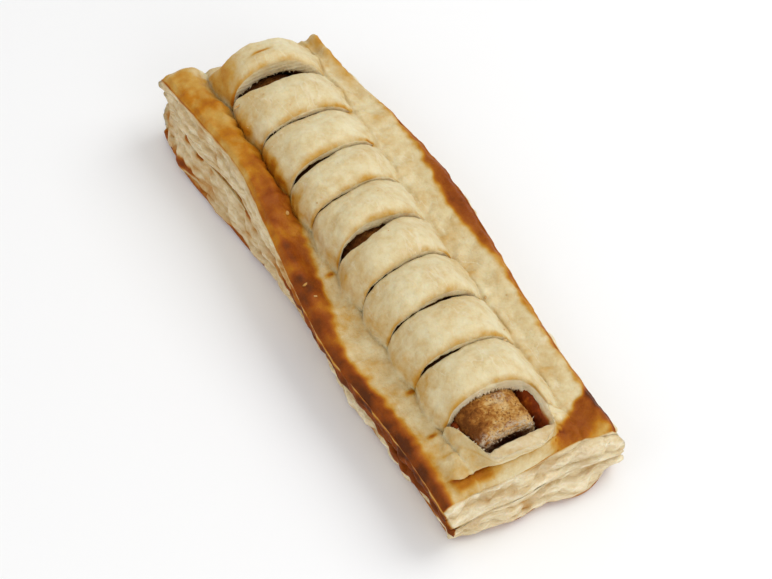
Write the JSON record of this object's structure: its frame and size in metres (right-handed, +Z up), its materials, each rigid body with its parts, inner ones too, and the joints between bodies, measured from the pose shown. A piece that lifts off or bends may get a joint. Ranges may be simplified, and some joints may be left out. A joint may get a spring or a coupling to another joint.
{
  "type": "sausage roll",
  "caption": "Long flat sausage roll of flaky puff pastry: a slit, banded lid arched over a sausage, flat browned borders and an open end window.",
  "frame": {"origin": "centre of the outline, on the flat underside", "axes": "+Z up out of the slit lid; Y along the roll, with the open window at the -Y end and the wide cap at the +Y end; X across the bands"},
  "size_m": [0.063, 0.178, 0.0358],
  "materials": {
    "base_crust": "dry flaky baked pastry, browned underneath",
    "lid_crust": "satin glazed crust, golden to dark brown along the edges",
    "sausage_meat": "grainy browned meat, slightly greasy"
  },
  "bodies": {
    "root": {"pastry_base": "base_crust", "pastry_lid": "lid_crust", "sausage": "sausage_meat"}
  },
  "joints": []
}
